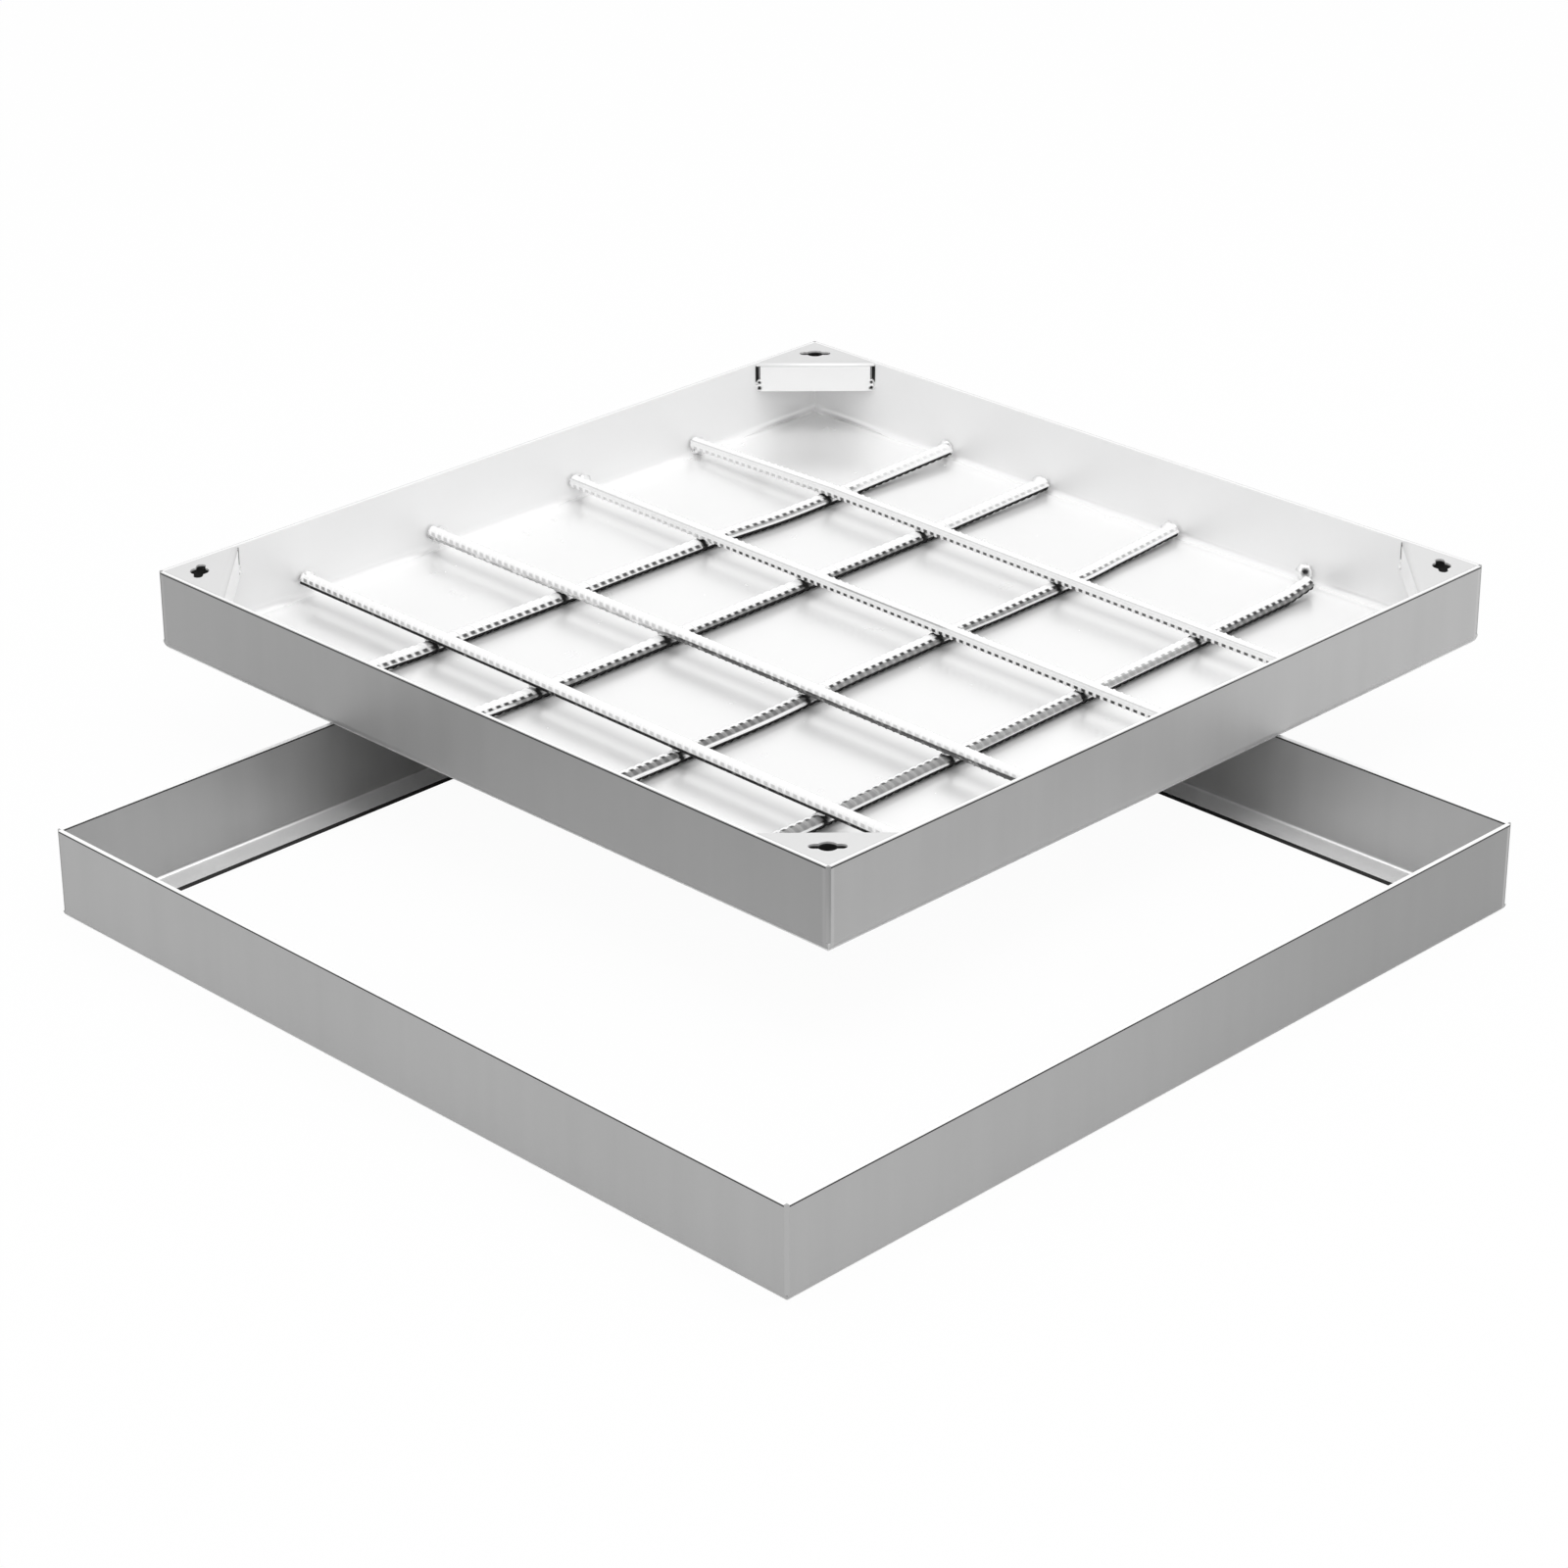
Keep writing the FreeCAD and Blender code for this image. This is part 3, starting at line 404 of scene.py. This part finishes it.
def bend_at(s, bends):
    """How far the axis has risen at s, and its slope there."""
    bend = bends[0] if s < 0 else bends[1]
    if bend is None:
        return 0.0, 0.0
    rise, run = bend
    slope = math.atan2(abs(rise), run)
    tangent = KINK * math.tan(slope / 2)
    past = abs(s) - (BAR_REACH - run - tangent)
    if past <= 0:
        return 0.0, 0.0
    up = 1 if rise > 0 else -1
    out = 1 if s > 0 else -1
    arc = KINK * math.sin(slope)
    if past < arc:
        turn = math.asin(past / KINK)
        return up * KINK * (1 - math.cos(turn)), out * up * turn
    climbed = KINK * (1 - math.cos(slope)) + (past - arc) * math.tan(slope)
    return up * climbed, out * up * slope


def ring_angles():
    """Angles round the section, close together at the two long ribs."""
    half = [-LONG_RIB_FOOT, -LONG_RIB_TOP, LONG_RIB_TOP, LONG_RIB_FOOT]
    plain = 27
    start, stop = LONG_RIB_FOOT, math.pi - LONG_RIB_FOOT
    half += [start + (stop - start) * k / plain for k in range(1, plain)]
    return half + [angle + math.pi for angle in half]


def layer_names(layer):
    """The bars of one layer, lower or upper."""
    return [name for name in BARS if name.startswith(layer)]


def crossings(name):
    """How far along a lower bar it meets each upper one."""
    place = BARS[name][0]
    return [BARS[other][0] + place * math.tan(math.radians(BARS[other][1])) - NEARER[other]
            for other in layer_names("upper")]


def scale_on(name, s, psi, gap, meets):
    """How dark the painted shade is at one spot: s along the bar, psi up its visible side in
    degrees.

    gap is one between two cross ribs and nothing on them; meets lists a lower bar's crossings.
    """
    if name.startswith("lower"):
        top, teeth, band, foot = along(LOWER_SCALE[name], s)
        dark = teeth * gap * between(top - 25, top - 2, 3, psi)
        dark = max(dark, band * between(foot, top - 22, 4, psi) * (0.8 + 0.2 * gap))
        # Painted shadow of the upper bar on a lower bar where they cross
        wedge = max(1 - smooth(2.0, 3.2, abs(s - meet)) for meet in meets)
        # Painted shade under the bar
        underside = between(-160, -12, 4, psi)
        return max(dark, underside, wedge)
    speckle = noise.noise(Vector((s * 0.45, psi * 0.06, BARS[name][0])))
    line, teeth, dots, solid, edge = along(UPPER_SCALE[name], s)
    rib = 8 - BARS[name][2]
    dark = line * between(rib - 6, rib + 6, 3, psi)
    dark = max(dark, teeth * gap * between(2, 30, 4, psi))
    dark = max(dark, dots * gap * between(-64, -9, 4, psi))
    # Painted shade on the underside of an upper bar
    dark = max(dark, 0.8 * between(-160, -80, 5, psi))
    return max(dark, solid * between(-160, edge - 3, 6, psi) * min(1, solid + 0.3 + speckle))


def ribbed_bar(name, material):
    """A bar with its ribs, lofted from sheared rings of vertices that lean with the cross ribs."""
    layer = name[:5]
    place, skew, roll, near_bend, far_bend = BARS[name]
    core = CORE[layer] / 2
    pitch = PITCH[layer]
    roll = math.radians(roll)
    turn = math.radians(90 - skew if layer == "lower" else skew)
    middle = Vector((TRAY_X, TRAY_Y, TRAY_Z + HEIGHT[layer]))
    middle += Vector((place, 0, 0)) if layer == "lower" else Vector((0, place, 0))
    spin = Matrix.Rotation(turn, 3, "Z")
    angles = ring_angles()
    meets = crossings(name) if layer == "lower" else ()
    rows = []
    count = int(BAR_REACH / pitch) + 3
    # For each ring of a pitch: its offset, whether it is on top of the rib, and in the gap
    steps = ((-CROSS_RIB_FOOT, 0, 0), (-CROSS_RIB_TOP, 1, 0),
             (CROSS_RIB_TOP, 1, 0), (CROSS_RIB_FOOT, 0, 0),
             (pitch / 2 - TOOTH, 0, 1), (pitch / 2 + TOOTH, 0, 1))
    for k in range(-count, count + 1):
        for offset, top, gap in steps:
            rows.append((k * pitch, offset, top, gap))
    mesh = bpy.data.meshes.new(name)
    bm = bmesh.new()
    # Painted shade, carried at each vertex
    dark_layer = bm.verts.layers.float.new("dark")
    rings = []
    for base, offset, top, gap in rows:
        ring = []
        for angle in angles:
            turned = angle % math.pi
            from_rib = min(turned, math.pi - turned)
            t = min(max((turned - LONG_RIB_FOOT) / (math.pi - 2 * LONG_RIB_FOOT), 0), 1)
            # The cross ribs are crescents: low and narrow where they run out at the long ribs
            crescent = math.sin(math.pi * t) ** 0.55 if t not in (0, 1) else 0
            width = 0.4 + 0.6 * crescent
            lean = turned if angle % (2 * math.pi) < math.pi else math.pi - turned
            if angle < 0:
                lean = 0
            s = base + lean * LEAN + (offset if gap else offset * width)
            s = min(max(s, -BAR_REACH), END.get(name, BAR_REACH))
            radius = core + top * CROSS_RIB * crescent
            if from_rib < (LONG_RIB_TOP + LONG_RIB_FOOT) / 2:
                radius = core + LONG_RIB
            around = angle + roll
            rise, slope = bend_at(s, (near_bend, far_bend))
            wave = along(WAVES[name], s)[0] if name in WAVES else 0
            side = radius * math.cos(around) - NEARER[name] - wave
            up = radius * math.sin(around)
            point = Vector((s - up * math.sin(slope), side, rise + up * math.cos(slope)))
            vert = bm.verts.new((middle + spin @ point) * MM)
            psi = math.degrees(math.atan2(math.sin(around), -math.cos(around)))
            vert[dark_layer] = scale_on(name, s, psi, gap, meets)
            ring.append(vert)
        rings.append(ring)
    size = len(angles)
    for low, high in zip(rings, rings[1:]):
        for j in range(size):
            k = (j + 1) % size
            bm.faces.new((low[j], low[k], high[k], high[j]))
    bm.faces.new(reversed(rings[0]))
    bm.faces.new(rings[-1])
    # Rings clamped to the bar's ends lie on one another there
    bmesh.ops.remove_doubles(bm, verts=bm.verts, dist=0.00001)
    bmesh.ops.dissolve_degenerate(bm, edges=bm.edges, dist=0.00001)
    bmesh.ops.recalc_face_normals(bm, faces=bm.faces)
    bm.to_mesh(mesh)
    bm.free()
    mesh.shade_smooth()
    mesh.set_sharp_from_angle(angle=math.radians(38))
    add_piece("ribbed_" + name, mesh, material, "bar_steel", "bar_" + name)


def lump(bm, centre, radii, seed, pits=(), wall=None):
    """A bead of weld: an uneven ball with pits, flat where it meets the wall."""
    pit_layer = bm.verts.layers.float["pit"]
    made = bmesh.ops.create_icosphere(bm, subdivisions=3, radius=1)["verts"]
    for vert in made:
        way = vert.co.normalized()
        swell = noise.noise(way * 1.7 + Vector((seed * 3.1, seed * 1.7, 0)))
        ripple = noise.noise(way * 4.5 + Vector((0, seed * 2.3, seed)))
        reach = 1 + 0.22 * swell + 0.09 * ripple
        dark = 0
        # Each pit is dented in and marked dark as painted shade
        for direction, width in pits:
            near = smooth(width, width * 0.7, (way - direction.normalized()).length)
            reach -= 0.3 * near
            dark = max(dark, near)
        point = centre + Vector([w * r * reach for w, r in zip(way, radii)])
        if wall:
            axis, sign, limit = wall
            point[axis] = sign * min(sign * point[axis], sign * limit)
        vert.co = point * MM
        vert[pit_layer] = dark


def bar_end(name, way):
    """Where the weld at a bar's end sits on the tray's inner wall, and that wall's plane."""
    place, skew, _, near_bend, far_bend = BARS[name]
    bend = near_bend if way < 0 else far_bend
    rise = bend[0] if bend else 0
    layer = name[:5]
    wall = way * TRAY_INSIDE
    drift = place + wall * math.tan(math.radians(skew))
    z = TRAY_Z + HEIGHT[layer] + rise
    if (name, way) in WELDS:
        drift, z = WELDS[name, way]
        z += TRAY_Z
    if layer == "lower":
        return Vector((TRAY_X + drift, TRAY_Y + wall, z)), (1, way, TRAY_Y + wall)
    return Vector((TRAY_X + wall, TRAY_Y + drift, z)), (0, way, TRAY_X + wall)


def weld_piece(name, material, replaced, lay_beads):
    """One piece made of weld beads, which lay_beads puts into an empty mesh."""
    mesh = bpy.data.meshes.new(name)
    bm = bmesh.new()
    bm.verts.layers.float.new("pit")
    lay_beads(bm)
    bm.to_mesh(mesh)
    bm.free()
    mesh.shade_smooth()
    add_piece(name, mesh, material, "weld_metal", replaced)


def end_beads(bm):
    """A bead from the tray's wall to each end of each bar, with one pit."""
    seed = 1
    for name in BARS:
        for way in (-1, 1):
            centre, wall = bar_end(name, way)
            axis = wall[0]
            inward = Vector((0, 0, 0))
            inward[axis] = -way
            radii = [6.0] * 3
            radii[axis] = 5.0
            pit = Vector((0.1, -1.1, 0.45)) if axis == 0 else Vector((0.64, -0.64, 0.43))
            lump(bm, centre + inward * 2.2, radii, seed, [(pit, 0.6)], wall)
            seed += 1


def crossing_beads(bm):
    """A flat bead at each crossing, on top of the lower bar."""
    seed = 40
    for lower in layer_names("lower"):
        for upper in layer_names("upper"):
            x = BARS[lower][0] + BARS[upper][0] * math.tan(math.radians(BARS[lower][1]))
            y = BARS[upper][0] + BARS[lower][0] * math.tan(math.radians(BARS[upper][1]))
            z = TRAY_Z + HEIGHT["lower"] + CORE["lower"] / 2 + CROSS_RIB
            centre = Vector((TRAY_X + x, TRAY_Y + y, z))
            lump(bm, centre, (3.2, 3.2, 1.6), seed)
            seed += 1


def tack_beads(bm):
    """Two beads, one over the other, at either end of each lip."""
    seed = 80
    face = PLATE_LEG / math.sqrt(2)
    half = face - PLATE_SHEET - (SHEET + LIP_GAP) * math.sqrt(2)
    inset = (face - PLATE_SHEET / 2) / math.sqrt(2)
    across = (half + LIP_GAP) / math.sqrt(2)
    for sign_x, sign_y in ((-1, -1), (1, -1), (1, 1), (-1, 1)):
        for way in (-1, 1):
            x = TRAY_X + sign_x * (TRAY_HALF - inset + way * across)
            y = TRAY_Y + sign_y * (TRAY_HALF - inset - way * across)
            for drop, reach in ((18.5, 2.8), (14.5, 2.2)):
                lump(bm, Vector((x, y, RIM_Z - drop)), (reach, reach, reach), seed,
                     [(Vector((0.6, -0.6, 0.1)), 0.7)])
                seed += 1


# Looks of the solids. Those of the bars, their welds and the tacks don't show, because the
# pieces below take their place
looks = {"frame_rail": frame_steel(), "tray_pan": tray_steel(), "key_plate": plate_steel()}
weld_line = ground_weld()
for name, node in nodes.items():
    look = weld_line
    for start in looks:
        if name.startswith(start):
            look = looks[start]
    node.data.materials.clear()
    node.data.materials.append(look)
    if look is not weld_line:
        weld = node.modifiers.new("joined", "WELD")
        weld.merge_threshold = 0.01 * MM
        bevel = node.modifiers.new("soft_edges", "BEVEL")
        bevel.width = 0.4 * MM
        bevel.segments = 2
        bevel.limit_method = "ANGLE"
        bevel.angle_limit = math.radians(50)
        bevel.harden_normals = True

bars_look = bar_steel()
for name in BARS:
    ribbed_bar(name, bars_look)
weld_look = weld_metal()
weld_piece("end_welds", weld_look, "bar_end_welds", end_beads)
weld_piece("crossing_welds", weld_look, "bar_crossing_welds", crossing_beads)
weld_piece("plate_tacks", weld_look, "key_plate_welds", tack_beads)


def stage_floor():
    """A wide white floor that the camera sees as white, with the shadow kept faint."""
    mesh = bpy.data.meshes.new("floor")
    bm = bmesh.new()
    bmesh.ops.create_circle(bm, cap_ends=True, segments=96, radius=30)
    bm.to_mesh(mesh)
    bm.free()
    floor = bpy.data.objects.new("floor", mesh)
    floor.location.z = -0.0002
    bpy.context.scene.collection.objects.link(floor)
    g = Graph("floor_white")
    g.tree.nodes.remove(g.shader)
    output = g.tree.nodes["Material Output"]
    paint = g.node("ShaderNodeBsdfDiffuse", (0.9, 0.9, 0.9, 1))
    glow = g.node("ShaderNodeEmission", (1, 1, 1, 1), 1.0)
    rays = g.node("ShaderNodeLightPath")
    seen = g.times(rays.outputs["Is Camera Ray"], 0.96)
    shiny = g.math("MAXIMUM", rays.outputs["Is Glossy Ray"], rays.outputs["Is Transmission Ray"])
    # Mirrored in the steel it is white too, but not under the tray
    beside = g.step(g.from_tray()[2], (TRAY_HALF - 5) * MM, (TRAY_HALF + 55) * MM, 0.0, 0.8)
    factor = g.math("MAXIMUM", seen, g.times(shiny, beside))
    blend = g.node("ShaderNodeMixShader", factor, paint.outputs[0], glow.outputs[0])
    g.tree.links.new(blend.outputs[0], output.inputs["Surface"])
    mesh.materials.append(g.material)


def studio():
    """Even light from all round, and one wide lamp above, a little to the right."""
    world = bpy.data.worlds.new("studio")
    bpy.context.scene.world = world
    world.use_nodes = True
    tree = world.node_tree
    background = tree.nodes["Background"]
    background.inputs["Color"].default_value = (1, 1, 1, 1)
    # Full white where it is seen or mirrored, and a little less as light
    rays = tree.nodes.new("ShaderNodeLightPath")
    shiny = tree.nodes.new("ShaderNodeMath")
    shiny.operation = "MAXIMUM"
    tree.links.new(rays.outputs["Is Camera Ray"], shiny.inputs[0])
    tree.links.new(rays.outputs["Is Glossy Ray"], shiny.inputs[1])
    clear = tree.nodes.new("ShaderNodeMath")
    clear.operation = "MAXIMUM"
    tree.links.new(shiny.outputs[0], clear.inputs[0])
    tree.links.new(rays.outputs["Is Transmission Ray"], clear.inputs[1])
    level = tree.nodes.new("ShaderNodeMapRange")
    tree.links.new(clear.outputs[0], level.inputs["Value"])
    level.inputs["To Min"].default_value = 0.8
    level.inputs["To Max"].default_value = 1.0
    tree.links.new(level.outputs["Result"], background.inputs["Strength"])

    lamp = bpy.data.lights.new("overhead", "AREA")
    lamp.shape = "SQUARE"
    lamp.size = 1.5
    lamp.energy = 16
    holder = bpy.data.objects.new("overhead", lamp)
    aim, distance = Vector((0.2, -0.05, 1.0)).normalized(), 2.2
    holder.location = Vector((TRAY_X, TRAY_Y, TRAY_Z)) * MM + aim * distance
    holder.rotation_mode = "QUATERNION"
    holder.rotation_quaternion = aim.to_track_quat("Z", "Y")
    bpy.context.scene.collection.objects.link(holder)


def photograph_camera():
    """The camera fitted to the photo: it looks at target from one side, height and distance."""
    camera = bpy.data.cameras.new("camera")
    camera.sensor_width = 36
    camera.sensor_fit = "HORIZONTAL"
    camera.lens = 100.17
    camera.clip_end = 100
    holder = bpy.data.objects.new("camera", camera)
    azimuth, elevation, roll = math.radians(-45.045), math.radians(25.769), -0.00407
    target, distance = Vector((-0.12499, 0.12500, 0)), 2.72696
    back = Vector((math.cos(elevation) * math.cos(azimuth), math.cos(elevation) * math.sin(azimuth),
                   math.sin(elevation)))
    holder.location = target + back * distance
    holder.rotation_mode = "QUATERNION"
    holder.rotation_quaternion = back.to_track_quat("Z", "Y") @ Quaternion((0, 0, 1), roll)
    bpy.context.scene.collection.objects.link(holder)
    bpy.context.scene.camera = holder


stage_floor()
studio()
photograph_camera()
bpy.context.scene.view_settings.view_transform = "Standard"
